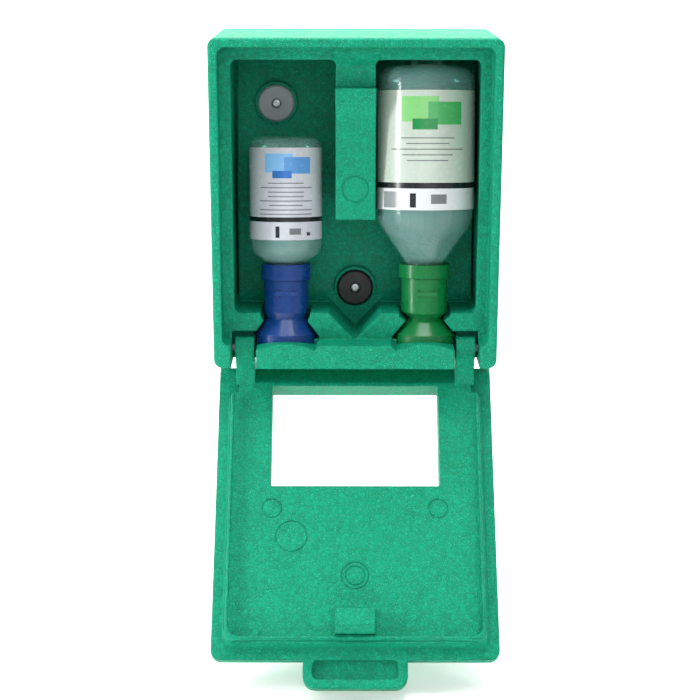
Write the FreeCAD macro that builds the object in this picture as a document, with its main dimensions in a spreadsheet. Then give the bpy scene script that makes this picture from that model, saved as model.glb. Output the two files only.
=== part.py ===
import FreeCAD, Part
import os
import re
import Sketcher

# A wall-mounted eyewash station: a moulded foam tray with a drop-down foam door, and two leaning
# bottles that stand upside down on their capped eyecups. Millimetres. The origin is the centre of
# the tray's wall face, +Y goes into the wall, +Z is up and +X is to the right of someone in front.

Vector = FreeCAD.Vector
Placement = FreeCAD.Placement
Rotation = FreeCAD.Rotation

doc = FreeCAD.newDocument("eyewash_station")
dims = doc.addObject("Spreadsheet::Sheet", "dims")

sizes = {
    # foam tray, outside
    "width": 220, "height": 253, "depth": 108,
    "corner_radius": 7, "rim_land": 7, "rim_rounding": 2.5, "mould_gap": 0.3,
    # shallow recess that takes the door's lip, and the ledge around the two bottle bays
    "recess_depth": 20, "recess_radius": 6, "bay_half_width": 94.5, "bay_top": 235.5,
    "bay_floor": 40, "bay_corner": 5, "bay_draft": 1.5, "rear_wall": 8.4, "cove_radius": 13,
    # middle column with the catch that the door's nose snaps behind
    "column_half": 15.5, "column_foot": 113, "column_setback": 5, "catch_top": 214.5,
    "catch_height": 11, "catch_setback": 11, "mark_depth": 0.5, "mark_radius": 10.5,
    "mark_level": 137, "mark_line": 0.9,
    # sill in front of the cups
    "sill_top": 18.7, "sill_half": 77, "slot_outer": 96.8, "slot_top": 25.5, "slot_rear": 34,
    "arch_half": 23.2, "arch_rise": 5.4, "arch_foot": 14.8, "arch_step": 3.4,
    "valley_half": 20.5, "valley_floor": 19.7, "valley_run": 50,
    # bottles: both stand at the same lean on the floor of a pocket
    "lean": 7.5, "seat_setback": 31, "seat_level": 11, "cup_offset": 54.6,
    "pocket_gap": 0.9, "seat_gap": 0.3, "silhouette_gap": 2,
    # fixings
    "upper_fixing_across": -63.2, "upper_fixing_level": 195.5, "lower_fixing_level": 49,
    "upper_boss_setback": 91, "lower_boss_setback": 72, "boss_radius": 17,
    "washer_radius": 14.6, "washer_thickness": 3, "washer_cup_radius": 4.4,
    "washer_cup_depth": 1.4, "head_radius": 3.6, "head_thickness": 2.2, "shank_radius": 2.1,
    "thread_radius": 2.5, "thread_length": 28, "thread_tip": 4, "screw_gap": 0.3,
    "wall_gap": 0.5, "drive_width": 1, "drive_length": 4.2, "drive_depth": 1.3,
    # hinge
    "hinge_setback": 23.6, "hinge_level": 11.1, "pin_radius": 3, "pin_gap": 0.05,
    "pin_inner": 81, "pin_outer": 104, "pin_end_gap": 0.3,
    # door, measured from its land, which meets the tray's rim
    "door_open": 142.5, "door_half": 108, "door_thickness": 14, "door_foot": 18,
    "door_rounding": 4, "panel_rise": 7, "panel_half": 92, "panel_foot": 22,
    "lip_half": 100.4, "lip_top": 244, "lip_foot": 40, "lip_height": 15,
    "lip_draft": 14, "lip_corner": 8, "lip_crest": 2, "lip_slope": 35, "fused_depth": 3,
    "window_half": 65.5, "window_foot": 37.2, "window_top": 119.9, "window_corner": 1,
    "nose_half": 14.8, "nose_foot": 217, "nose_lead": 2, "nose_top": 231.5, "nose_height": 22,
    "nose_heel": 236.5,
    "arm_inner": 79.2, "arm_outer": 94.2, "knuckle_radius": 9.4, "arm_run": 36,
    "tab_half": 39.1, "tab_reach": 21, "tab_corner": 9,
    "finger_half": 32, "finger_foot": 253, "finger_top": 267.5, "finger_depth": 5,
    "door_mark_level": 190.7, "door_mark_radius": 10.8, "side_mark_level": 160,
    "side_mark_across": -48.5, "side_mark_radius": 12.4, "small_mark_level": 138,
    "small_mark_across": 64, "small_mark_radius": 7.8,
    # parts that both bottles share
    "wall": 1, "fit_gap": 0.3, "film_gap": 0.05, "saline_gap": 0.2,
    "label_thickness": 0.2, "label_wrap": 330,
    "neck_end": 51.2, "neck_web": 48.6, "web_top": 49.8, "nozzle_radius": 4, "nozzle_bore": 2.5,
    "nozzle_tip": 30, "plug_top": 57, "seal_bore": 5, "cap_wall": 0.8, "cap_height": 9,
    "cap_floor": 1.2, "cup_wall": 1.6, "cup_deck": 24, "jet_hole": 4,
    "sleeve_wall": 2.2, "arrow_length": 18, "arrow_height": 6,
    "arrow_head": 3.4, "arrow_level": 42.6, "arrow_relief": 0.7,
    # large bottle
    "big_radius": 38.2, "big_throat": 15, "big_shoulder": 99.6, "big_base": 218.3,
    "big_shoulder_round": 22, "big_base_round": 11, "big_neck": 12.3, "big_collar": 20.1,
    "big_collar_foot": 54.4, "big_collar_top": 65, "big_sleeve": 18.1, "big_waist": 13,
    "big_waist_level": 22.7, "big_sleeve_foot": 27.1, "big_rim": 23.7,
    "big_label_foot": 108.5, "big_label_top": 199.2, "big_liquid": 209,
    "ring_half": 12, "ring_height": 5.6, "ring_thickness": 2.4, "ring_slot_half": 6.5,
    "ring_slot_height": 2.4, "ring_slot_foot": 1.4,
    # small bottle
    "small_radius": 28.2, "small_throat": 14.5, "small_shoulder": 74, "small_base": 164.3,
    "small_shoulder_round": 13, "small_base_round": 8, "small_neck": 11.9, "small_collar": 19.3,
    "small_collar_foot": 52.7, "small_collar_top": 65, "small_sleeve": 17.4, "small_waist": 15.4,
    "small_waist_level": 22.1, "small_sleeve_foot": 27.3, "small_rim": 24.2,
    "small_label_foot": 84.9, "small_label_top": 155.7, "small_liquid": 158,
}
for row, (alias, size) in enumerate(sizes.items(), start=1):
    dims.set(f"A{row}", alias)
    dims.set(f"B{row}", str(size))
    dims.setAlias(f"B{row}", alias)
doc.recompute()


def bound(text):
    # points each named size of an expression at the sheet
    return re.sub(r"\b(?!(?:sin|cos|tan)\b)([a-z][a-z_]+)", r"dims.\1", text)


def value(text):
    return float(dims.evalExpression(bound(text)))


def bind(thing, **expressions):
    for path, text in expressions.items():
        thing.setExpression(path.replace("__", "."), bound(text))


# rear wall of the bays: it leans with the bottles and touches the large one's back
rear_foot = "seat_setback + (bay_floor - seat_level)*tan(lean) + (big_radius + seat_gap)/cos(lean)"
rear_top = "seat_setback + (bay_top - seat_level)*tan(lean) + (big_radius + seat_gap)/cos(lean)"
cove_run = "cove_radius*tan(45 - lean/2)"
far = value("width + height")


def origin_plane(body, role):
    return next(plane for plane in body.Origin.OriginFeatures if plane.Role == role)


def new_body(label):
    body = doc.addObject("PartDesign::Body", label)
    body.Label = label
    return body


def sketch_on(body, role, offset="0", across="0", up="0"):
    # a sketch on one of the body's own planes, moved off it, sideways and up
    sketch = body.newObject("Sketcher::SketchObject", body.Name + "_sketch")
    sketch.AttachmentSupport = (origin_plane(body, role), [""])
    sketch.MapMode = "FlatFace"
    for path, text in zip("xyz", (across, up, offset)):
        if text != "0":
            sketch.setExpression("AttachmentOffset.Base." + path, bound(text))
    return sketch


def fix_point(sketch, geometry, end, across, up):
    for kind, axis, text in (("DistanceX", -2, across), ("DistanceY", -1, up)):
        if text == "0":
            sketch.addConstraint(Sketcher.Constraint("PointOnObject", geometry, end, axis))
        else:
            number = sketch.addConstraint(
                Sketcher.Constraint(kind, -1, 1, geometry, end, value(text)))
            sketch.setExpression(f"Constraints[{number}]", bound(text))


def outline(sketch, corners):
    # a closed outline; a corner is (across, up), or (across, up, radius, turn) where an arc leaves it:
    # turn 1 runs anticlockwise and -1 clockwise
    first = sketch.GeometryCount
    points = [Vector(value(c[0]), value(c[1]), 0) for c in corners]
    ends = []
    for number, corner in enumerate(corners):
        start, end = points[number], points[(number + 1) % len(points)]
        if len(corner) == 2:
            sketch.addGeometry(Part.LineSegment(start, end))
            ends.append((1, 2))
            continue
        radius, turn = value(corner[2]), corner[3]
        chord = end - start
        side = Vector(-chord.y, chord.x, 0).normalize() * turn
        centre = (start + end) * 0.5 + side * (max(radius**2 - chord.Length**2 / 4, 0)) ** 0.5
        middle = centre - side * radius
        sketch.addGeometry(Part.Arc(start, middle, end))
        ends.append((1, 2) if turn == 1 else (2, 1))
        number = sketch.addConstraint(
            Sketcher.Constraint("Radius", first + number, radius))
        sketch.setExpression(f"Constraints[{number}]", bound(corner[2]))
    count = len(corners)
    for number, corner in enumerate(corners):
        after = (number + 1) % count
        sketch.addConstraint(Sketcher.Constraint(
            "Coincident", first + number, ends[number][1], first + after, ends[after][0]))
        fix_point(sketch, first + number, ends[number][0], corner[0], corner[1])
    return sketch


def rounded(low_x, high_x, low_y, high_y, radius):
    # corners of an upright rectangle with equal rounded corners
    return [
        (f"{low_x} + {radius}", low_y), (f"{high_x} - {radius}", low_y, radius, 1),
        (high_x, f"{low_y} + {radius}"), (high_x, f"{high_y} - {radius}", radius, 1),
        (f"{high_x} - {radius}", high_y), (f"{low_x} + {radius}", high_y, radius, 1),
        (low_x, f"{high_y} - {radius}"), (low_x, f"{low_y} + {radius}", radius, 1),
    ]


def square(low_x, high_x, low_y, high_y):
    return [(low_x, low_y), (high_x, low_y), (high_x, high_y), (low_x, high_y)]


def circle(sketch, across, up, radius):
    number = sketch.addGeometry(
        Part.Circle(Vector(value(across), value(up), 0), Vector(0, 0, 1), value(radius)))
    fix_point(sketch, number, 3, across, up)
    constraint = sketch.addConstraint(Sketcher.Constraint("Radius", number, value(radius)))
    sketch.setExpression(f"Constraints[{constraint}]", bound(radius))
    return sketch


def feature(body, kind, sketch, length, backwards=False, both_ways=False, draft=None):
    # a Pad or a Pocket of a sketch, checked for really adding or removing material
    before = body.Shape.Volume if body.Tip else 0
    made = body.newObject("PartDesign::" + kind, f"{body.Name}_{kind.lower()}")
    made.Profile = sketch
    made.Reversed = backwards
    made.Refine = True
    if both_ways:
        made.SideType = "Symmetric"
    if draft:
        bind(made, TaperAngle=draft)
    bind(made, Length=length)
    doc.recompute()
    changed = body.Shape.Volume - before
    if (changed > 0) != (kind == "Pad") or abs(changed) < 1e-3:
        raise RuntimeError(f"{made.Name} changes nothing")
    return made


def revolve(body, sketch, angle=None):
    made = body.newObject("PartDesign::Revolution", body.Name + "_turned")
    made.Profile = sketch
    made.ReferenceAxis = (sketch, ["V_Axis"])
    if angle:
        made.Midplane = True
        bind(made, Angle=angle)
    doc.recompute()
    return made


def turned(label, corners, role="XZ_Plane", angle=None):
    # a sub-part turned about its own upright axis from half of its section
    body = new_body(label)
    revolve(body, outline(sketch_on(body, role), corners), angle)
    return body


def round_edges(body, radius, wanted):
    # rounds the edges whose shape passes the test
    tip = body.Tip
    names = [f"Edge{n}" for n, edge in enumerate(tip.Shape.Edges, start=1) if wanted(edge)]
    if not names:
        raise RuntimeError(f"no edge to round on {body.Name}")
    made = body.newObject("PartDesign::Fillet", body.Name + "_fillet")
    made.Base = (tip, names)
    bind(made, Radius=radius)
    doc.recompute()
    return made


def ring_edge(radius, level):
    # picks the full circle of a turned body at a radius and a level
    def wanted(edge):
        return (isinstance(edge.Curve, Part.Circle) and abs(edge.Curve.Radius - radius) < 1e-3
                and abs(edge.Curve.Center.z - level) < 1e-3)
    return wanted


def within(box):
    # picks edges that lie wholly inside a box: (low x, high x, low y, high y, low z, high z)
    def wanted(edge):
        b = edge.BoundBox
        slack = 0.02
        return (b.XMin > box[0] - slack and b.XMax < box[1] + slack
                and b.YMin > box[2] - slack and b.YMax < box[3] + slack
                and b.ZMin > box[4] - slack and b.ZMax < box[5] + slack)
    return wanted


def stand(thing):
    # lowers a sub-part modelled from the tray's bottom to the frame's origin
    bind(thing, Placement__Base__z="-height/2")
    return thing


def make_tray():
    tray = new_body("tray_moulding")
    front = sketch_on(tray, "XZ_Plane")
    feature(tray, "Pad", outline(front, rounded(
        "-width/2", "width/2", "0", "height", "corner_radius")), "depth")
    face = -value("depth")
    round_edges(tray, "rim_rounding", within((-far, far, face, face, -far, far)))

    recess = sketch_on(tray, "XZ_Plane", "depth")
    outline(recess, rounded("rim_land - width/2", "width/2 - rim_land", "sill_top",
                            "height - rim_land", "recess_radius"))
    feature(tray, "Pocket", recess, "recess_depth")
    under = sketch_on(tray, "XZ_Plane", "depth")
    outline(under, square("-slot_outer", "slot_outer", "0 - corner_radius",
                          "sill_top + recess_radius"))
    feature(tray, "Pocket", under, "recess_depth")

    for low, high in (("-bay_half_width", "-column_half"), ("column_half", "bay_half_width")):
        bay = sketch_on(tray, "XZ_Plane", "depth - recess_depth")
        outline(bay, rounded(low, high, "bay_floor", "bay_top", "bay_corner"))
        feature(tray, "Pocket", bay, "depth - recess_depth - rear_wall", draft="bay_draft")
    foot = sketch_on(tray, "XZ_Plane", "depth - recess_depth")
    outline(foot, square("-column_half - bay_corner", "column_half + bay_corner",
                         "bay_floor", "column_foot"))
    feature(tray, "Pocket", foot, "depth - recess_depth - rear_wall")

    slope = sketch_on(tray, "YZ_Plane", across="-depth")
    outline(slope, [
        ("depth - mould_gap", "bay_floor - cove_radius"),
        ("depth - mould_gap", "bay_top + cove_radius/2"),
        (rear_top, "bay_top + cove_radius/2"),
        (rear_top, "bay_top"),
        (f"{rear_foot} + {cove_run}*sin(lean)", f"bay_floor + {cove_run}*cos(lean)",
         "cove_radius", -1),
        (f"{rear_foot} - {cove_run}", "bay_floor"),
        (f"{rear_foot} - {cove_run}", "bay_floor - cove_radius"),
    ])
    feature(tray, "Pad", slope, "2*bay_half_width", both_ways=True)

    catch = sketch_on(tray, "YZ_Plane", across="-depth")
    outline(catch, [
        ("recess_depth/2", "column_foot - bay_corner"),
        ("recess_depth + column_setback", "column_foot - bay_corner"),
        ("recess_depth + column_setback", "catch_top - 2*catch_height"),
        ("recess_depth", "catch_top - catch_height"),
        ("recess_depth", "catch_top"),
        ("recess_depth + catch_setback", "catch_top"),
        ("recess_depth + catch_setback", "bay_top - bay_corner"),
        ("recess_depth", "bay_top + bay_corner"),
        ("recess_depth/2", "bay_top + bay_corner"),
    ])
    feature(tray, "Pocket", catch, "2*column_half + bay_corner", both_ways=True)

    for across, level, setback in (
            ("upper_fixing_across", "upper_fixing_level", "upper_boss_setback"),
            ("0", "lower_fixing_level", "lower_boss_setback")):
        boss = sketch_on(tray, "XZ_Plane", f"depth - {setback}")
        feature(tray, "Pad", circle(boss, across, level, "boss_radius"), "rear_wall",
                backwards=True)
        hole = sketch_on(tray, "XZ_Plane", f"depth - {setback}")
        feature(tray, "Pocket", circle(hole, across, level, "thread_radius + screw_gap"), "depth")

    valley = sketch_on(tray, "XZ_Plane", "depth - recess_depth")
    outline(valley, [
        ("valley_half + bay_corner", "bay_floor + bay_corner"),
        ("0 - valley_half - bay_corner", "bay_floor + bay_corner"),
        ("0 - bay_corner/3", "valley_floor"), ("bay_corner/3", "valley_floor"),
    ])
    feature(tray, "Pocket", valley, "valley_run")

    washer_seat = sketch_on(tray, "XZ_Plane", "depth - lower_boss_setback + cove_radius")
    circle(washer_seat, "0", "lower_fixing_level", "washer_radius + pocket_gap")
    feature(tray, "Pocket", washer_seat, "cove_radius")

    sill = sketch_on(tray, "XZ_Plane", "depth - recess_depth - mould_gap")
    arch = "((arch_half^2 + arch_rise^2)/(2*arch_rise))"
    outline(sill, [
        ("0 - sill_half", "0"), ("sill_half", "0"), ("sill_half", "arch_foot", arch, 1),
        ("cup_offset - arch_half", "arch_foot"),
        ("cup_offset - arch_half - arch_step", "sill_top"),
        ("arch_half + arch_step - cup_offset", "sill_top"),
        ("arch_half - cup_offset", "arch_foot", arch, 1),
        ("0 - sill_half", "arch_foot"),
    ])
    feature(tray, "Pad", sill, "recess_depth + mould_gap")

    for side in (-1, 1):
        name = "small" if side < 0 else "big"
        middle = f"({side}*cup_offset)"
        pocket = sketch_on(tray, "XZ_Plane", "depth - recess_depth + mould_gap")
        reach = {kind: f"({name}_{kind} + silhouette_gap)" for kind in ("rim", "waist", "sleeve")}
        right = [
            (f"{middle} + {reach['rim']}", "sill_top"),
            (f"{middle} + {reach['rim']}", "seat_level + cap_height + silhouette_gap/2"),
            (f"{middle} + {reach['waist']}", f"seat_level + {name}_waist_level"),
            (f"{middle} + {reach['sleeve']}", f"seat_level + {name}_sleeve_foot - silhouette_gap/2"),
            (f"{middle} + {reach['sleeve']}", "bay_floor + silhouette_gap"),
        ]
        left = [(text.replace(" + (", " - (", 1), level) for text, level in reversed(right)]
        feature(tray, "Pocket", outline(pocket, right + left),
                f"seat_setback + {name}_rim + silhouette_gap - recess_depth")

        slot_low = "sill_half" if side > 0 else "0 - slot_outer"
        slot_high = "slot_outer" if side > 0 else "0 - sill_half"
        slot = sketch_on(tray, "XZ_Plane", "depth")
        outline(slot, square(slot_low, slot_high, "0 - corner_radius", "slot_top"))
        feature(tray, "Pocket", slot, "slot_rear")
        bore = sketch_on(tray, "YZ_Plane", f"{side}*slot_outer", "hinge_setback - depth")
        feature(tray, "Pocket", circle(bore, "0", "hinge_level", "pin_radius"),
                "pin_outer - slot_outer", backwards=side > 0)

    ring_mark(tray, "depth - recess_depth - column_setback", "0", "mark_level", "mark_radius")

    pockets = []
    for side, name in ((-1, "small"), (1, "big")):
        pocket = doc.addObject("Part::Cylinder", name + "_pocket")
        bind(pocket, Radius=f"{name}_rim + pocket_gap",
             Height="cap_height + silhouette_gap + seat_gap")
        pockets.append(lean_over(pocket, side, "0 - seat_gap", "0"))
    hollowed = doc.addObject("Part::Cut", "tray")
    joined = doc.addObject("Part::MultiFuse", "both_pockets")
    joined.Shapes = pockets
    hollowed.Base = tray
    hollowed.Tool = joined
    doc.recompute()
    return stand(hollowed)


def ring_mark(body, offset, across, level, radius, shift="0", backwards=False):
    # a shallow round mark left by the mould
    sketch = sketch_on(body, "XZ_Plane", offset, up=shift)
    circle(sketch, across, level, radius)
    circle(sketch, across, level, f"{radius} - mark_line")
    feature(body, "Pocket", sketch, "mark_depth", backwards)


def lean_over(thing, side, along="0", drop="-height/2"):
    # sets a sub-part modelled upright on the leaning axis of the small (-1) or big (1) bottle
    thing.Placement = Placement(Vector(), Rotation(Vector(1, 0, 0), 1))
    bind(thing, Placement__Base__x=f"{side}*cup_offset",
         Placement__Base__y=f"seat_setback - depth + ({along})*sin(lean)",
         Placement__Base__z=f"seat_level {drop if drop != '0' else ''} + ({along})*cos(lean)",
         Placement__Rotation__Angle="0 - lean")
    return thing


def make_door():
    door = new_body("door")
    face = "hinge_setback + mould_gap"
    drop = "0 - hinge_level"

    def front(height):
        return sketch_on(door, "XZ_Plane", f"{face} - {height}", up=drop)

    def profile(corners, width):
        sketch = sketch_on(door, "YZ_Plane", across=f"-({face})", up=drop)
        feature(door, "Pad", outline(sketch, corners), width, both_ways=True)

    profile([
        ("0 - door_thickness", "door_foot"), ("0 - fused_depth", "door_foot"),
        ("0", "door_foot + knuckle_radius - door_rounding"), ("0", "height"),
        ("0 - door_thickness", "height"),
    ], "2*door_half")
    top = value("height - hinge_level")
    for side in (-1, 1):
        edge = side * value("door_half")
        round_edges(door, "corner_radius", within((edge, edge, -far, far, top, top)))
    tab = front("0")
    outline(tab, rounded("0 - tab_half", "tab_half", "height - tab_reach", "height + tab_reach",
                         "tab_corner"))
    feature(door, "Pad", tab, "door_thickness")
    outer = -value(f"{face} + door_thickness")
    round_edges(door, "door_rounding", within((-far, far, outer, outer, -far, far)))
    profile([
        ("0 - fused_depth", "door_foot + knuckle_radius - door_rounding"),
        ("0", "door_foot + knuckle_radius - door_rounding"),
        ("panel_rise", "panel_foot + knuckle_radius + fused_depth"),
        ("panel_rise", "lip_top - panel_rise"), ("0 - fused_depth", "lip_top - panel_rise"),
    ], "2*panel_half")

    lip = front("0")
    outline(lip, rounded("0 - lip_half", "lip_half", "lip_foot", "lip_top", "lip_corner"))
    feature(door, "Pad", lip, "lip_height", backwards=True, draft="0 - lip_draft")
    crest = "lip_half - lip_height*tan(lip_draft) - lip_crest"
    hollow = front("lip_height")
    outline(hollow, rounded(f"0 - ({crest})", crest, "panel_foot",
                            f"lip_top - lip_half + {crest}", "lip_corner"))
    feature(door, "Pocket", hollow, "lip_height - panel_rise", backwards=True, draft="lip_slope")

    profile([
        ("panel_rise - mould_gap", "nose_foot"), ("nose_height", "nose_foot + nose_lead"),
        ("nose_height", "nose_top"), ("lip_height", "nose_heel"),
        ("panel_rise - mould_gap", "nose_heel"),
    ], "2*nose_half")

    window = front("panel_rise")
    outline(window, rounded("0 - window_half", "window_half", "window_foot", "window_top",
                            "window_corner"))
    feature(door, "Pocket", window, "door_thickness + panel_rise", backwards=True)
    finger = front("0")
    outline(finger, rounded("0 - finger_half", "finger_half", "finger_foot", "finger_top",
                            "door_rounding"))
    feature(door, "Pocket", finger, "finger_depth", backwards=True)

    for side in (-1, 1):
        start = "arm_inner" if side > 0 else "0 - arm_outer"
        arm = sketch_on(door, "YZ_Plane", start, f"-({face})", drop)
        outline(arm, [
            (face, "hinge_level + knuckle_radius"),
            ("door_thickness", "hinge_level + knuckle_radius + door_rounding"),
            ("panel_rise", "arm_run"), ("0", "arm_run"),
            ("0 - door_thickness/2", "arm_run - door_thickness"),
            ("0 - door_thickness/2", "door_foot + mould_gap"), ("0", "door_foot + mould_gap"),
            (f"{face} - knuckle_radius", "hinge_level"), (face, "hinge_level"),
        ])
        feature(door, "Pad", arm, "arm_outer - arm_inner")
        knuckle = sketch_on(door, "YZ_Plane", start)
        feature(door, "Pad", circle(knuckle, "0", "0", "knuckle_radius"), "arm_outer - arm_inner")
        bore = sketch_on(door, "YZ_Plane", f"{side}*arm_outer")
        feature(door, "Pocket", circle(bore, "0", "0", "pin_radius + pin_gap"),
                "arm_outer - pin_inner + pin_end_gap", backwards=side < 0)

    for across, level, radius in (
            ("0", "door_mark_level", "door_mark_radius"),
            ("0", "door_mark_level", "small_mark_radius"),
            ("side_mark_across", "side_mark_level", "side_mark_radius"),
            ("small_mark_across", "small_mark_level", "small_mark_radius"),
            ("0 - small_mark_across", "small_mark_level", "small_mark_radius")):
        ring_mark(door, f"{face} - panel_rise", across, level, radius, drop, True)

    door.Placement = Placement(Vector(), Rotation(Vector(1, 0, 0), 1))
    bind(door, Placement__Base__y="hinge_setback - depth",
         Placement__Base__z="hinge_level - height/2", Placement__Rotation__Angle="door_open")
    return door


def make_pin(side):
    pin = new_body("hinge_pin_" + ("left" if side < 0 else "right"))
    sketch = sketch_on(pin, "YZ_Plane", f"{side}*pin_inner", "hinge_setback - depth")
    circle(sketch, "0", "hinge_level", "pin_radius")
    feature(pin, "Pad", sketch, "pin_outer - pin_inner", backwards=side < 0)
    return stand(pin)


def face_out(part, across, level, setback):
    # sets a sub-part modelled upright on a fixing's axis, its top toward the front
    part.Placement = Placement(Vector(), Rotation(Vector(1, 0, 0), 90))
    bind(part, Placement__Base__x=across, Placement__Base__y=f"{setback} - depth",
         Placement__Base__z=f"{level} - height/2")
    return part


def make_washer(name, across, level, setback):
    # the cup washer seats on the boss and takes the screw's head in its hollow
    washer = turned("washer_" + name, [
        ("thread_radius + screw_gap", "0"), ("washer_radius", "0"),
        ("washer_radius", "washer_thickness - washer_cup_depth"),
        ("washer_radius - washer_cup_depth", "washer_thickness"),
        ("washer_cup_radius", "washer_thickness"),
        ("washer_cup_radius", "washer_thickness - washer_cup_depth"),
        ("thread_radius + screw_gap", "washer_thickness - washer_cup_depth"),
    ])
    return face_out(washer, across, level, setback)


def make_screw(name, across, level, setback):
    seat = "washer_thickness - washer_cup_depth"
    wall_line = f"({setback} - depth) - wall_gap"
    screw = turned("screw_" + name, [
        ("0", f"{seat} + head_thickness"), ("0", f"{wall_line} - thread_length"),
        ("thread_radius/4", f"{wall_line} - thread_length"),
        ("thread_radius", f"{wall_line} - thread_length + thread_tip"),
        ("thread_radius", wall_line), ("shank_radius", wall_line),
        ("shank_radius", seat), ("head_radius", seat),
        ("head_radius", f"{seat} + head_thickness/2"),
        ("head_radius/2", f"{seat} + head_thickness"),
    ])
    blade = ("drive_length/2", "drive_width/2")
    for half_x, half_y in (blade, blade[::-1]):
        slot = sketch_on(screw, "XY_Plane", f"{seat} + head_thickness")
        outline(slot, square(f"0 - {half_x}", half_x, f"0 - {half_y}", half_y))
        feature(screw, "Pocket", slot, "drive_depth")
    return face_out(screw, across, level, setback)


def bottle_inside(name):
    # the radius inside a bottle's wall and the level where its neck opens out
    return f"{name}_radius - wall", f"{name}_collar_top + fit_gap"


def make_bottle(name):
    inner, top = bottle_inside(name)
    bottle = turned(name + "_bottle", [
        (f"{name}_neck", "neck_end"), (f"{name}_neck", top), (f"{name}_throat", top),
        (f"{name}_radius", f"{name}_shoulder"), (f"{name}_radius", f"{name}_base"),
        ("0", f"{name}_base"), ("0", f"{name}_base - wall"), (inner, f"{name}_base - wall"),
        (inner, f"{name}_shoulder + wall/2"), (f"{name}_throat - wall/2", f"{top} + wall"),
        (f"{name}_neck - wall", f"{top} + wall"), (f"{name}_neck - wall", "neck_end"),
    ])
    for radius, level, rounding in (
            (f"{name}_radius", f"{name}_shoulder", f"{name}_shoulder_round"),
            (inner, f"{name}_shoulder + wall/2", f"{name}_shoulder_round - wall"),
            (f"{name}_radius", f"{name}_base", f"{name}_base_round"),
            (inner, f"{name}_base - wall", f"{name}_base_round - wall")):
        round_edges(bottle, rounding, ring_edge(value(radius), value(level)))
    if name == "big":
        add_hanging_loop(bottle)
    return bottle


def add_hanging_loop(bottle):
    # a flat moulded tab with a slot, on the base of the large bottle
    loop = sketch_on(bottle, "XZ_Plane")
    outline(loop, square("0 - ring_half", "ring_half", "big_base - wall/2",
                         "big_base + ring_height"))
    outline(loop, square("0 - ring_slot_half", "ring_slot_half", "big_base + ring_slot_foot",
                         "big_base + ring_slot_foot + ring_slot_height"))
    feature(bottle, "Pad", loop, "ring_thickness", both_ways=True)


def make_saline(name):
    # fills the bottle from its plug to a level surface, with air above it
    inner, top = bottle_inside(name)
    radius = f"{inner} - saline_gap"
    shoulder = f"{name}_shoulder + wall/2 + saline_gap"
    base = f"{name}_base - wall - saline_gap"
    saline = turned(name + "_saline", [
        ("0", "plug_top + saline_gap"), (f"{name}_neck - wall - saline_gap", "plug_top + saline_gap"),
        (f"{name}_neck - wall - saline_gap", f"{top} + wall + saline_gap"),
        (f"{name}_throat - wall/2 - saline_gap", f"{top} + wall + saline_gap"),
        (radius, shoulder), (radius, base), ("0", base),
    ])
    for level, rounding in ((shoulder, f"{name}_shoulder_round - wall"),
                            (base, f"{name}_base_round - wall")):
        round_edges(saline, rounding, ring_edge(value(radius), value(level)))
    air = sketch_on(saline, "YZ_Plane")
    outline(air, [
        (f"0 - {name}_radius", f"{name}_liquid - {name}_radius*tan(lean)"),
        (f"{name}_radius", f"{name}_liquid + {name}_radius*tan(lean)"),
        (f"{name}_radius", f"{name}_base"), (f"0 - {name}_radius", f"{name}_base"),
    ])
    feature(saline, "Pocket", air, f"3*{name}_radius", both_ways=True)
    return saline


def make_label(name):
    # a film around the front of the bottle, its ends apart at the back
    return turned(name + "_label", square(
        f"0 - {name}_radius - film_gap - label_thickness", f"0 - {name}_radius - film_gap",
        f"{name}_label_foot", f"{name}_label_top"), "YZ_Plane", "label_wrap")


def make_collar(name):
    tube = f"{name}_sleeve - sleeve_wall - fit_gap"
    return turned(name + "_collar", [
        ("nozzle_radius + fit_gap", "neck_web"), (tube, "neck_web"),
        (tube, f"{name}_collar_foot"), (f"{name}_collar", f"{name}_collar_foot"),
        (f"{name}_collar", f"{name}_collar_top"),
        (f"{name}_neck + film_gap", f"{name}_collar_top"), (f"{name}_neck + film_gap", "web_top"),
        ("nozzle_radius + fit_gap", "web_top"),
    ])


def make_seal(name):
    return turned(name + "_seal", square("seal_bore", f"{name}_neck", "web_top", "neck_end"))


def make_nozzle(name):
    # the jet that stands in the cup, with the plug that closes the bottle's neck
    plug = f"{name}_neck - wall - film_gap"
    return turned(name + "_nozzle", [
        ("nozzle_bore", "nozzle_tip"), ("nozzle_radius", "nozzle_tip"),
        ("nozzle_radius", "neck_end"), (plug, "neck_end"), (plug, "plug_top"),
        ("nozzle_bore", "plug_top"),
    ])


def make_eyecup(name):
    rim = f"{name}_rim - cap_wall - film_gap"
    cup = turned(name + "_eyecup", [
        (rim, "cap_floor"), (rim, "cap_height + film_gap"),
        (f"{name}_rim", "cap_height + film_gap"), (f"{name}_rim", "cap_height + wall"),
        (f"{name}_waist", f"{name}_waist_level"),
        (f"{name}_sleeve", f"{name}_sleeve_foot"),
        (f"{name}_sleeve", f"{name}_collar_foot - fit_gap"),
        (f"{name}_sleeve - sleeve_wall", f"{name}_collar_foot - fit_gap"),
        (f"{name}_sleeve - sleeve_wall", f"{name}_sleeve_foot"),
        ("jet_hole", f"{name}_sleeve_foot"), ("jet_hole", "cup_deck"),
        (f"{name}_waist - cup_wall", "cup_deck"), (f"{rim} - cup_wall", "cap_height"),
        (f"{rim} - cup_wall", "cap_floor"),
    ])
    tail = "0 - arrow_length/2"
    neck = "arrow_head - arrow_length/2"
    arrow = sketch_on(cup, "XZ_Plane", f"{name}_sleeve - sleeve_wall/2")
    outline(arrow, [
        (tail, "arrow_level"), (neck, "arrow_level - arrow_height/2"),
        (neck, "arrow_level - arrow_height/4"),
        ("arrow_length/2", "arrow_level - arrow_height/4"),
        ("arrow_length/2", "arrow_level + arrow_height/4"),
        (neck, "arrow_level + arrow_height/4"), (neck, "arrow_level + arrow_height/2"),
    ])
    feature(cup, "Pad", arrow, "sleeve_wall/2 + arrow_relief")
    return cup


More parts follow.
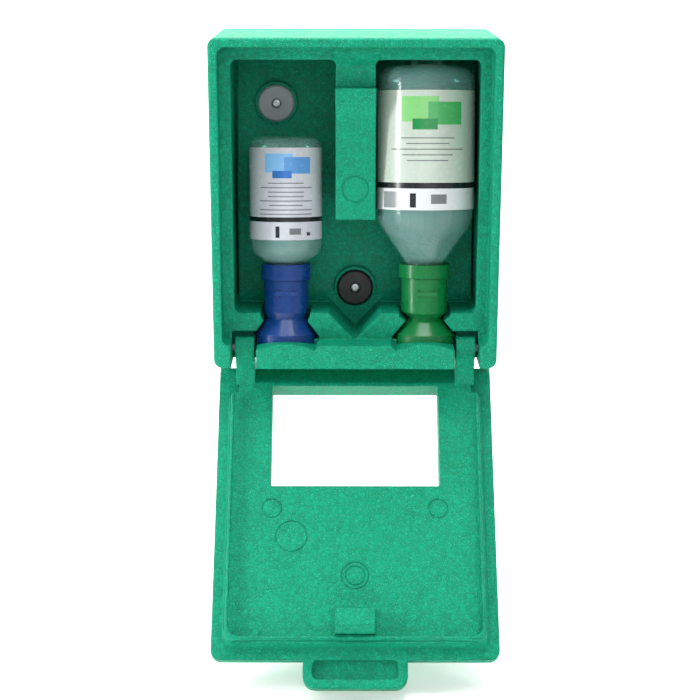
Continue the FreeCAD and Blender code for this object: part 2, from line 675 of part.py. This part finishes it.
def make_dust_cap(name):
    return turned(name + "_dust_cap", [
        ("0", "0"), (f"{name}_rim", "0"), (f"{name}_rim", "cap_height"),
        (f"{name}_rim - cap_wall", "cap_height"), (f"{name}_rim - cap_wall", "cap_floor"),
        ("0", "cap_floor"),
    ])


def main():
    parts = [make_tray(), make_door(), make_pin(-1), make_pin(1)]
    for fixing in (("upper", "upper_fixing_across", "upper_fixing_level", "upper_boss_setback"),
                   ("lower", "0", "lower_fixing_level", "lower_boss_setback")):
        parts += [make_washer(*fixing), make_screw(*fixing)]
    for side, name in ((-1, "small"), (1, "big")):
        for make in (make_bottle, make_saline, make_label, make_collar, make_seal, make_nozzle,
                     make_eyecup, make_dust_cap):
            parts.append(lean_over(make(name), side))
    doc.recompute()
    os.makedirs("parts", exist_ok=True)
    for part in parts:
        bad = [state for state in part.State if state in ("Invalid", "Error")]
        if bad or part.Shape.isNull() or not part.Shape.isValid():
            raise RuntimeError(f"{part.Label} is not sound")
        print(part.Label, round(part.Shape.Volume), len(part.Shape.Solids), part.Shape.BoundBox)
        part.Shape.exportStep(f"parts/{part.Label}.step")


main()
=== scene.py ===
import math

import bmesh
import bpy
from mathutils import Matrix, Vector


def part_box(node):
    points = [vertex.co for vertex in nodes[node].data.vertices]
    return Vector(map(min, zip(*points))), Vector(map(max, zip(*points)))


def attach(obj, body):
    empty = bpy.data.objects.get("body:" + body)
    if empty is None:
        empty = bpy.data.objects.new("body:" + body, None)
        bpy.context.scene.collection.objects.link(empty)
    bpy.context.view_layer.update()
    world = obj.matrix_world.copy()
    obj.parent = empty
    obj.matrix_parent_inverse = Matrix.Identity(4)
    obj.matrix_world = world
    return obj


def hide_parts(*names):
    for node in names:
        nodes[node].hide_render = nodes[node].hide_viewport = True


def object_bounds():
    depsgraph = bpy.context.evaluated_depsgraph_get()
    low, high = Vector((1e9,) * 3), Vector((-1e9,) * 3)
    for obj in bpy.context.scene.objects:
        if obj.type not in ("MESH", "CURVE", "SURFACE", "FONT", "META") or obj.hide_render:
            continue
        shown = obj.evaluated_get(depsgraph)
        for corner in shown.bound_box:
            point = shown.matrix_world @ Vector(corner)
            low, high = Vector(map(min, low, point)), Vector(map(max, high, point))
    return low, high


# Looks of the wall-mounted eyewash station: moulded bead foam, blow-moulded bottles of saline with
# printed film labels, and moulded eyecups. Metres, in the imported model's frame; the dictionaries
# hold millimetres.
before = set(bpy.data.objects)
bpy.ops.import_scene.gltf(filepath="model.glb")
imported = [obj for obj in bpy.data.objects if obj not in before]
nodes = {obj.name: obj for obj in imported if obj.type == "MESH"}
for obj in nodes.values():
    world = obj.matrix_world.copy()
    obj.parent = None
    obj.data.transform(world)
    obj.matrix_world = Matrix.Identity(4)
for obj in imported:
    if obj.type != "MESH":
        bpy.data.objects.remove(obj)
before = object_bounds()
millimetre = 0.001


def linear(code):
    # an sRGB hex colour as linear red, green, blue and alpha
    parts = [int(code[i:i + 2], 16) / 255 for i in (0, 2, 4)]
    return tuple(p / 12.92 if p <= 0.04045 else ((p + 0.055) / 1.055) ** 2.4 for p in parts) + (1,)


def grey(level):
    return (level, level, level, 1)


def addNode(tree, kind, settings=None, links=None):
    # adds a node; a setting is a property, an input's value or a ramp's stops, and a link runs from
    # another node's socket to an input
    node = tree.nodes.new(kind)
    for key, value in (settings or {}).items():
        if key == "stops":
            elements = node.color_ramp.elements
            while len(elements) < len(value):
                elements.new(0.5)
            for element, (position, colour) in zip(elements, value):
                element.position = position
                element.color = colour
        elif isinstance(key, str) and hasattr(node, key):
            setattr(node, key, value)
        else:
            node.inputs[key].default_value = value
    for key, socket in (links or {}).items():
        tree.links.new(socket, node.inputs[key])
    return node


def newMaterial(name):
    material = bpy.data.materials.new(name)
    material.use_nodes = True
    tree = material.node_tree
    place = addNode(tree, "ShaderNodeTexCoord").outputs["Object"]
    return material, tree, tree.nodes["Principled BSDF"], place


def setShader(tree, shader, settings, links):
    for key, value in settings.items():
        shader.inputs[key].default_value = value
    for key, socket in links.items():
        tree.links.new(socket, shader.inputs[key])


def link(name, data):
    thing = bpy.data.objects.new(name, data)
    bpy.context.scene.collection.objects.link(thing)
    return thing


cameraPlace = {"lens": 80.3, "sensor": 36, "tilt": 74.835, "roll": -0.0019, "turn": -0.0017,
               "across": -6.7, "back": -1274.8, "up": 205.2, "nearest": 50}

# The camera looks from the front and a little above.
camera = link("camera", bpy.data.cameras.new("camera"))
camera.data.lens = cameraPlace["lens"]
camera.data.sensor_width = cameraPlace["sensor"]
camera.location = [cameraPlace[key] * millimetre for key in ("across", "back", "up")]
camera.rotation_euler = (math.radians(cameraPlace["tilt"]), cameraPlace["roll"], cameraPlace["turn"])
camera.data.clip_start = cameraPlace["nearest"] * millimetre
bpy.context.scene.camera = camera
bpy.context.scene.view_settings.view_transform = "Standard"
print("camera set")

# The studio is one pale sheet, a floor that sweeps up into a backdrop, with soft lamps in metres.
studio = {"paper": "FAFAF8", "sky": "FAFBFC", "skyStrength": 0.62, "drop": 0.004, "front": -6,
          "bendStart": 1.2, "bend": 0.6, "top": 4, "halfWidth": 6}
lampPlaces = {
    "top softbox": {"at": (0.0, -0.2, 1.2), "aim": (0, -0.12, -0.1), "size": (0.9, 0.5), "power": 17},
    "left strip": {"at": (-1.2, -0.55, 0.3), "aim": (0, -0.08, 0.0), "size": (0.16, 1.0), "power": 14},
    "front fill": {"at": (0.25, -1.9, 0.7), "aim": (0, -0.1, -0.05), "size": (1.4, 1.0), "power": 8},
    "backdrop wash": {"at": (0.0, 0.6, 2.2), "aim": (0, 1.7, 0.3), "size": (3.0, 0.6), "power": 110},
}


def paperSweep():
    material, tree, shader, place = newMaterial("pale studio paper")
    setShader(tree, shader, {"Base Color": linear(studio["paper"]), "Roughness": 0.9}, {})
    floorLevel = before[0][2] - studio["drop"]
    bend, bendStart = studio["bend"], studio["bendStart"]
    profile = [(studio["front"], floorLevel), (bendStart, floorLevel)]
    for degrees in range(10, 91, 10):
        angle = math.radians(degrees)
        profile.append((bendStart + bend * math.sin(angle), floorLevel + bend * (1 - math.cos(angle))))
    profile.append((bendStart + bend, studio["top"]))
    mesh = bmesh.new()
    rails = [[mesh.verts.new((x, y, z)) for y, z in profile]
             for x in (-studio["halfWidth"], studio["halfWidth"])]
    for index in range(len(profile) - 1):
        strip = mesh.faces.new((rails[0][index], rails[1][index], rails[1][index + 1],
                                rails[0][index + 1]))
        strip.smooth = True
    data = bpy.data.meshes.new("studio paper")
    mesh.to_mesh(data)
    mesh.free()
    data.materials.append(material)
    return link("studio paper", data)


def softbox(name, lamp):
    light = bpy.data.lights.new(name, "AREA")
    light.shape = "RECTANGLE"
    light.size, light.size_y = lamp["size"]
    light.energy = lamp["power"]
    thing = link(name, light)
    thing.location = lamp["at"]
    aim = Vector(lamp["aim"]) - Vector(lamp["at"])
    thing.rotation_euler = aim.to_track_quat("-Z", "Y").to_euler()
    return thing


world = bpy.data.worlds.new("studio")
bpy.context.scene.world = world
world.use_nodes = True
sky = world.node_tree.nodes["Background"]
sky.inputs["Color"].default_value = linear(studio["sky"])
sky.inputs["Strength"].default_value = studio["skyStrength"]
paperSweep()
[softbox(name, lamp) for name, lamp in lampPlaces.items()]
print("studio set")


def moulded(tree, edgeRadius, height, strength, relief):
    # surface bumps, on edges that the mould rounds over; edgeRadius and relief in millimetres
    edge = addNode(tree, "ShaderNodeBevel", {"samples": 6, "Radius": edgeRadius * millimetre})
    bump = addNode(tree, "ShaderNodeBump", {"Strength": strength, "Distance": relief * millimetre},
                   {"Height": height, "Normal": edge.outputs[0]})
    return bump.outputs[0]


# the pale speck colour is painted highlight, glints of the bead skin
foam = {"name": "green bead foam, steam moulded", "bead": 3.2, "base": "007556", "light": "00906E",
        "seam": "004E38", "speckAndGlint": "6CDDBE", "gloss": 0.42, "matt": 0.66, "specular": 0.15,
        "edgeRadius": 2, "relief": 0.4}


def foamFinish():
    # Expanded polypropylene: each bead is a soft cell in a shade of its own, with a darker seam
    # round it, and fine pale specks of painted highlight where the skin catches light. The eye gets
    # a mottled, matt green.
    material, tree, shader, place = newMaterial(foam["name"])
    bead = foam["bead"] * millimetre
    warp = addNode(tree, "ShaderNodeTexNoise", {"Scale": 1 / (bead * 2), "Detail": 2.0},
                   {"Vector": place})
    shifted = addNode(tree, "ShaderNodeMix", {"data_type": "VECTOR", 0: bead * 0.35},
                      {4: place, 5: warp.outputs["Color"]}).outputs[1]
    cells = addNode(tree, "ShaderNodeTexVoronoi", {"feature": "F1", "Scale": 1 / bead},
                    {"Vector": shifted})
    edges = addNode(tree, "ShaderNodeTexVoronoi", {"feature": "DISTANCE_TO_EDGE", "Scale": 1 / bead},
                    {"Vector": shifted})
    patch = addNode(tree, "ShaderNodeTexNoise", {"Scale": 1 / (bead * 14), "Detail": 3.0},
                    {"Vector": place})
    speckAndGlint = addNode(tree, "ShaderNodeTexNoise", {"Scale": 1 / (bead * 0.18), "Detail": 1.0},
                    {"Vector": place})
    patchy = addNode(tree, "ShaderNodeValToRGB", {"stops": [(0.35, grey(0)), (0.7, grey(0.3))]},
                     {0: patch.outputs["Fac"]})
    seams = addNode(tree, "ShaderNodeValToRGB", {"stops": [(0, grey(0.4)), (0.08, grey(0))]},
                    {0: edges.outputs["Distance"]})
    # mask for the pale specks: painted highlight mixed into the foam's colour
    paintedGlintMask = addNode(tree, "ShaderNodeValToRGB", {"stops": [(0.64, grey(0)), (0.76, grey(0.55))]},
                     {0: speckAndGlint.outputs["Fac"]})
    tone = addNode(tree, "ShaderNodeMix",
                   {"data_type": "RGBA", 6: linear(foam["base"]), 7: linear(foam["light"])},
                   {0: cells.outputs["Color"]})
    for share, shade in ((patchy, "light"), (seams, "seam"), (paintedGlintMask, "speckAndGlint")):
        tone = addNode(tree, "ShaderNodeMix", {"data_type": "RGBA", 7: linear(foam[shade])},
                       {0: share.outputs[0], 6: tone.outputs[2]})
    dome = addNode(tree, "ShaderNodeValToRGB",
                   {"stops": [(0, grey(0)), (0.16, grey(0.75)), (0.5, grey(1))]},
                   {0: edges.outputs["Distance"]})
    height = addNode(tree, "ShaderNodeMath", {"operation": "MULTIPLY_ADD", 1: 0.35},
                     {0: speckAndGlint.outputs["Fac"], 2: dome.outputs[0]})
    sheen = addNode(tree, "ShaderNodeValToRGB",
                    {"stops": [(0, grey(foam["gloss"])), (1, grey(foam["matt"]))]},
                    {0: cells.outputs["Color"]})
    setShader(tree, shader, {"Specular IOR Level": foam["specular"]}, {
        "Base Color": tone.outputs[2], "Roughness": sheen.outputs[0],
        "Normal": moulded(tree, foam["edgeRadius"], height.outputs[0], 0.5, foam["relief"])})
    return material


def plasticFinish(piece):
    # Injection-moulded or extruded plastic: faint flow clouds in colour and gloss, and a fine skin,
    # drawn coarser than the real one so that it shows. The eye gets a smooth, low gloss.
    material, tree, shader, place = newMaterial(piece["name"])
    grain = piece["grain"] * millimetre
    cloud = addNode(tree, "ShaderNodeTexNoise", {"Scale": 1 / (grain * 12), "Detail": 4.0},
                    {"Vector": place})
    skin = addNode(tree, "ShaderNodeTexNoise", {"Scale": 1 / grain, "Detail": 3.0}, {"Vector": place})
    base = linear(piece["colour"])
    pale = tuple(min(1, part + piece["lift"] * (0.3 + part)) for part in base[:3]) + (1,)
    tone = addNode(tree, "ShaderNodeMix", {"data_type": "RGBA", 6: base, 7: pale},
                   {0: cloud.outputs["Fac"]})
    sheen = addNode(tree, "ShaderNodeValToRGB",
                    {"stops": [(0.3, grey(piece["roughness"] - 0.05)),
                               (0.7, grey(piece["roughness"] + 0.08))]},
                    {0: cloud.outputs["Fac"]})
    setShader(tree, shader, {"IOR": 1.5, "Specular IOR Level": 0.3, "Coat Weight": 0.08,
                             "Coat Roughness": 0.1}, {
        "Base Color": tone.outputs[2], "Roughness": sheen.outputs[0],
        "Normal": moulded(tree, 0.7, skin.outputs["Fac"], 0.4, piece["relief"])})
    return material


hingePin = {"name": "grey nylon, extruded", "colour": "6E7073", "roughness": 0.35,
            "grain": 1.2, "relief": 0.04, "lift": 0.02}
upperWasher = {"name": "grey nylon, injection moulded", "colour": "94979A", "roughness": 0.42,
               "grain": 1.2, "relief": 0.04, "lift": 0.02}
# the lower washer is the same grey nylon washer as the upper one; its near-black colour is painted shade
shadedLowerWasher = {"name": "grey nylon in painted shade, injection moulded", "colour": "101416", "roughness": 0.35,
               "grain": 1.2, "relief": 0.04, "lift": 0.02}
smallCup = {"name": "blue polypropylene, injection moulded", "colour": "043270", "roughness": 0.28,
            "grain": 1.2, "relief": 0.04, "lift": 0.02}
bigCup = {"name": "green polypropylene, injection moulded", "colour": "006630", "roughness": 0.28,
          "grain": 1.2, "relief": 0.04, "lift": 0.02}
nozzle = {"name": "natural polyethylene, injection moulded", "colour": "E2E2DC", "roughness": 0.4,
          "grain": 1.2, "relief": 0.04, "lift": 0.02}
seal = {"name": "grey rubber, die cut", "colour": "B9B6AE", "roughness": 0.7,
        "grain": 0.6, "relief": 0.06, "lift": 0.1}

bottle = {"name": "translucent polyethylene, blow moulded", "colour": "86C8C2", "pale": "B9E2DD",
          "wave": 28, "relief": 0.6, "gloss": 0.12, "matt": 0.22, "cover": 0.13, "thickCover": 0.19}


def bottleFinish():
    # A milky film of even cover that what is behind shows through, with slow waves in its wall from
    # the blowing. The eye gets soft highlights on a see-through shell.
    material, tree, shader, place = newMaterial(bottle["name"])
    wave = addNode(tree, "ShaderNodeTexNoise", {"Scale": 1 / (bottle["wave"] * millimetre), "Detail": 1.0},
                   {"Vector": place})
    tone = addNode(tree, "ShaderNodeMix",
                   {"data_type": "RGBA", 6: linear(bottle["colour"]), 7: linear(bottle["pale"])},
                   {0: wave.outputs["Fac"]})
    sheen = addNode(tree, "ShaderNodeValToRGB",
                    {"stops": [(0.3, grey(bottle["gloss"])), (0.75, grey(bottle["matt"]))]},
                    {0: wave.outputs["Fac"]})
    cover = addNode(tree, "ShaderNodeValToRGB",
                    {"stops": [(0.3, grey(bottle["cover"])), (0.7, grey(bottle["thickCover"]))]},
                    {0: wave.outputs["Fac"]})
    bump = addNode(tree, "ShaderNodeBump",
                   {"Strength": 0.3, "Distance": bottle["relief"] * millimetre},
                   {"Height": wave.outputs["Fac"]})
    setShader(tree, shader, {"IOR": 1.5}, {
        "Base Color": tone.outputs[2], "Roughness": sheen.outputs[0], "Alpha": cover.outputs[0],
        "Normal": bump.outputs[0]})
    return material


# the liquid's green tint is painted reflection of the foam around the bottles
saline = {"name": "saline, clear liquid", "colour": "5DBDB0", "pale": "74C9BE", "swirl": 33}


def salineFinish():
    # Refracts like water with slow swirls; the faintest green tint is painted reflection of the foam.
    material, tree, shader, place = newMaterial(saline["name"])
    swirl = addNode(tree, "ShaderNodeTexNoise",
                    {"Scale": 1 / (saline["swirl"] * millimetre), "Detail": 1.0}, {"Vector": place})
    tone = addNode(tree, "ShaderNodeMix",
                   {"data_type": "RGBA", 6: linear(saline["colour"]), 7: linear(saline["pale"])},
                   {0: swirl.outputs["Fac"]})
    setShader(tree, shader, {"IOR": 1.333, "Roughness": 0.02, "Transmission Weight": 1.0},
              {"Base Color": tone.outputs[2]})
    return material


def smallPrint(top, pitch, halves, middle, colour):
    # plain grey bars, one below another, where a label carries its small print
    return [(colour, middle, half, top - number * pitch, 0.45) for number, half in enumerate(halves)]


# Each printed block is a colour, its middle and half width round the bottle, and its middle and half
# height along it; foot is where the bottle's axis starts, and lean tips it back.
lean = 7.5
smallLabel = {
    "name": "white film label, printed", "foot": (-54.6, -77, -115.5), "radius": 28.2,
    "paper": "A8ABB3", "sheen": "B4B7BE",
    "print": [
        ("6FA5D2", -4.6, 11.1, 144.0, 7.2), ("4A84BC", 10.6, 10.7, 142.2, 6.3),
        ("1D5FA8", -1.8, 7.5, 135.2, 2.8), ("101417", 0.0, 90.0, 100.7, 1.8),
        ("1C2023", -5.4, 1.6, 91.2, 4.4), ("5F6468", 8.4, 4.6, 91.6, 2.4),
        ("1C2023", 19.6, 1.6, 89.6, 1.3),
    ] + smallPrint(128.6, 3.4, (14.3, 21.8, 14.3, 14.3, 22.0, 13.2, 21.8, 21.8), 1.2, "6A6F75")}
bigLabel = {
    "name": "pale green film label, printed", "foot": (54.6, -77, -115.5), "radius": 38.2,
    "paper": "A3AFA5", "sheen": "AFBAB0",
    "print": [
        ("C2C6C8", 0.0, 125.0, 117.0, 8.6),
        ("74B56C", -6.2, 14.5, 185.0, 9.6), ("3F9A55", 14.0, 14.0, 181.8, 8.6),
        ("0F7A3C", -2.3, 9.6, 173.6, 4.1), ("101417", 0.0, 125.0, 127.2, 2.2),
        ("7C8183", -31.0, 8.0, 116.4, 6.2), ("1C2023", -11.2, 2.4, 116.0, 5.4),
        ("65696C", 8.8, 6.2, 117.0, 3.6),
    ] + smallPrint(163.2, 4.25, (21.3, 17.0, 30.0, 20.0, 16.0), 0.0, "6A706C")}


def labelFinish(label):
    # Smooth plastic film, printed flat. Its fibres are drawn coarser than real ones so that they
    # show. The eye gets clean blocks of colour under a satin sheen.
    material, tree, shader, place = newMaterial(label["name"])
    local = addNode(tree, "ShaderNodeMapping", {
        "vector_type": "TEXTURE", "Location": [number * millimetre for number in label["foot"]],
        "Rotation": (-math.radians(lean), 0, 0)}, {"Vector": place})
    parts = addNode(tree, "ShaderNodeSeparateXYZ", {}, {"Vector": local.outputs[0]}).outputs
    forward = addNode(tree, "ShaderNodeMath", {"operation": "MULTIPLY", 1: -1}, {0: parts["Y"]})
    turn = addNode(tree, "ShaderNodeMath", {"operation": "ARCTAN2"},
                   {0: parts["X"], 1: forward.outputs[0]})
    arc = addNode(tree, "ShaderNodeMath", {"operation": "MULTIPLY", 1: label["radius"]},
                  {0: turn.outputs[0]})
    level = addNode(tree, "ShaderNodeMath", {"operation": "DIVIDE", 1: millimetre}, {0: parts["Z"]})
    fibre = addNode(tree, "ShaderNodeTexNoise", {"Scale": 1 / (3 * millimetre), "Detail": 2.0},
                    {"Vector": place})
    tone = addNode(tree, "ShaderNodeMix",
                   {"data_type": "RGBA", 6: linear(label["paper"]), 7: linear(label["sheen"])},
                   {0: fibre.outputs["Fac"]})
    for colour, middle, half, height, halfHeight in label["print"]:
        across = addNode(tree, "ShaderNodeMath", {"operation": "COMPARE", 1: middle, 2: half},
                         {0: arc.outputs[0]})
        along = addNode(tree, "ShaderNodeMath", {"operation": "COMPARE", 1: height, 2: halfHeight},
                        {0: level.outputs[0]})
        inside = addNode(tree, "ShaderNodeMath", {"operation": "MULTIPLY"},
                         {0: across.outputs[0], 1: along.outputs[0]})
        tone = addNode(tree, "ShaderNodeMix", {"data_type": "RGBA", 7: linear(colour)},
                       {0: inside.outputs[0], 6: tone.outputs[2]})
    sheen = addNode(tree, "ShaderNodeValToRGB", {"stops": [(0.3, grey(0.2)), (0.7, grey(0.28))]},
                    {0: fibre.outputs["Fac"]})
    bump = addNode(tree, "ShaderNodeBump", {"Strength": 0.2, "Distance": 0.01 * millimetre},
                   {"Height": fibre.outputs["Fac"]})
    setShader(tree, shader, {}, {"Base Color": tone.outputs[2], "Roughness": sheen.outputs[0],
                                 "Normal": bump.outputs[0]})
    return material


zinc = {"name": "zinc-plated steel, cold headed", "colour": "8C8F94", "pale": "D8DADD",
        "crystal": 1.1, "relief": 0.03, "gloss": 0.3, "matt": 0.45}


def zincFinish():
    # Mottled grey metal; the plating's crystals are drawn coarser than real ones so that they show.
    # The eye gets a bright glint, broken up.
    material, tree, shader, place = newMaterial(zinc["name"])
    mottle = addNode(tree, "ShaderNodeTexNoise",
                     {"Scale": 1 / (zinc["crystal"] * millimetre), "Detail": 4.0}, {"Vector": place})
    tone = addNode(tree, "ShaderNodeMix",
                   {"data_type": "RGBA", 6: linear(zinc["colour"]), 7: linear(zinc["pale"])},
                   {0: mottle.outputs["Fac"]})
    sheen = addNode(tree, "ShaderNodeValToRGB",
                    {"stops": [(0.3, grey(zinc["gloss"])), (0.7, grey(zinc["matt"]))]},
                    {0: mottle.outputs["Fac"]})
    bump = addNode(tree, "ShaderNodeBump", {"Strength": 0.3, "Distance": zinc["relief"] * millimetre},
                   {"Height": mottle.outputs["Fac"]})
    setShader(tree, shader, {"Metallic": 1.0}, {"Base Color": tone.outputs[2],
                                                "Roughness": sheen.outputs[0],
                                                "Normal": bump.outputs[0]})
    return material


foamMaterial = foamFinish()
zincMaterial = zincFinish()
bottleMaterial = bottleFinish()
salineMaterial = salineFinish()
pinMaterial = plasticFinish(hingePin)
nozzleMaterial = plasticFinish(nozzle)
sealMaterial = plasticFinish(seal)
finishes = {"tray": foamMaterial, "door": foamMaterial, "washer_upper": plasticFinish(upperWasher),
            "washer_lower": plasticFinish(shadedLowerWasher)}
for level in ("upper", "lower"):
    finishes["screw_" + level] = zincMaterial
for side in ("left", "right"):
    finishes["hinge_pin_" + side] = pinMaterial
for size, cup, label in (("small", smallCup, smallLabel), ("big", bigCup, bigLabel)):
    cupMaterial = plasticFinish(cup)
    for part in ("collar", "eyecup", "dust_cap"):
        finishes[f"{size}_{part}"] = cupMaterial
    finishes[size + "_label"] = labelFinish(label)
    finishes[size + "_bottle"] = bottleMaterial
    finishes[size + "_saline"] = salineMaterial
    finishes[size + "_nozzle"] = nozzleMaterial
    finishes[size + "_seal"] = sealMaterial
for name, node in nodes.items():
    node.data.materials.clear()
    node.data.materials.append(finishes[name])
print("materials set")

# Screws with real threads and cross recesses, inside the plain ones' outline. The levels run along
# the Y axis from the wall's face.
screwShape = {"pitch": 1.8, "root": 1.85, "crest": 2.49, "shank": 2.05, "start": 1.0, "end": 25.0,
              "tip": 28.45, "tipRadius": 0.15, "neckRadius": 1.8, "fadeLength": 3,
              "headRadius": 3.58, "headHeight": 2.18, "seat": 1.6, "slot": 0.5, "slotReach": 2.1,
              "slotDepth": 1.4, "corners": 32, "ringsPerTurn": 12, "ridgeHalf": 0.28,
              "domeShare": 0.45}


def screwRings(top, seat):
    # levels along the screw, each with a rule for its radius at an angle
    shape = screwShape
    rings = []
    for share in (0.15, 0.4, 0.65, 0.85, 0.97, 1.0):
        drop = (1 - math.sqrt(1 - share * share)) * shape["headHeight"] * shape["domeShare"]
        rings.append((top + drop, lambda angle, share=share: shape["headRadius"] * share))
    rings.append((seat, lambda angle: shape["headRadius"]))
    rings.append((seat, lambda angle: shape["shank"]))
    rings.append((shape["start"] - 0.2, lambda angle: shape["shank"]))
    perTurn = shape["ringsPerTurn"]
    for index in range(int((shape["end"] - shape["start"]) / shape["pitch"] * perTurn)):
        y = shape["start"] + index * shape["pitch"] / perTurn

        def wound(angle, y=y):
            phase = (y / shape["pitch"] - angle / (2 * math.pi)) % 1
            ridge = max(0, 1 - abs(phase - 0.5) / shape["ridgeHalf"])
            fade = min(1, (shape["end"] - y) / shape["fadeLength"])
            return shape["root"] + (shape["crest"] - shape["root"]) * ridge * fade
        rings.append((y, wound))
    rings.append((shape["end"], lambda angle: shape["neckRadius"]))
    rings.append((shape["tip"], lambda angle: shape["tipRadius"]))
    return rings


def prism(name, rows):
    # a closed shell through rows of corners in millimetres, each row as long as the next
    mesh = bmesh.new()
    loops = [[mesh.verts.new([number * millimetre for number in corner]) for corner in row]
             for row in rows]
    for low, high in zip(loops, loops[1:]):
        for step in range(len(low)):
            after = (step + 1) % len(low)
            mesh.faces.new((low[step], low[after], high[after], high[step]))
    mesh.faces.new(list(reversed(loops[0])))
    mesh.faces.new(loops[-1])
    bmesh.ops.recalc_face_normals(mesh, faces=mesh.faces)
    data = bpy.data.meshes.new(name)
    mesh.to_mesh(data)
    mesh.free()
    return link(name, data)


def threadedScrew(name, across, face, level):
    # face is how far the washer's seat stands in front of the wall
    seat = -face - screwShape["seat"]
    top = seat - screwShape["headHeight"]
    angles = [2 * math.pi * step / screwShape["corners"] for step in range(screwShape["corners"])]
    screw = prism(name, [[(across + radiusAt(angle) * math.cos(angle), y,
                           level + radiusAt(angle) * math.sin(angle)) for angle in angles]
                         for y, radiusAt in screwRings(top, seat)])
    for facet in screw.data.polygons:
        facet.use_smooth = True
    half, reach = screwShape["slot"], screwShape["slotReach"]
    plus = [(half, reach), (half, half), (reach, half), (reach, -half), (half, -half), (half, -reach),
            (-half, -reach), (-half, -half), (-reach, -half), (-reach, half), (-half, half),
            (-half, reach)]
    cutter = prism(name + "_recess", [[(across + x, top + y, level + z) for x, z in plus]
                                      for y in (-1, screwShape["slotDepth"])])
    recess = screw.modifiers.new("recess", "BOOLEAN")
    recess.object = cutter
    recess.solver = "EXACT"
    bpy.context.view_layer.update()
    bpy.context.view_layer.objects.active = screw
    screw.select_set(True)
    bpy.ops.object.modifier_apply(modifier="recess")
    bpy.data.objects.remove(cutter)
    screw.data.materials.append(zincMaterial)
    print(name, "has", len(screw.data.vertices), "corners")
    return screw


for name, face in (("screw_upper", 17), ("screw_lower", 36)):
    low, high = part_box(name)
    across, level = [(low[axis] + high[axis]) / 2 / millimetre for axis in (0, 2)]
    screw = threadedScrew("threaded_" + name, across, face, level)
    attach(screw, "tray")
    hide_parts(name)
print("screws made")
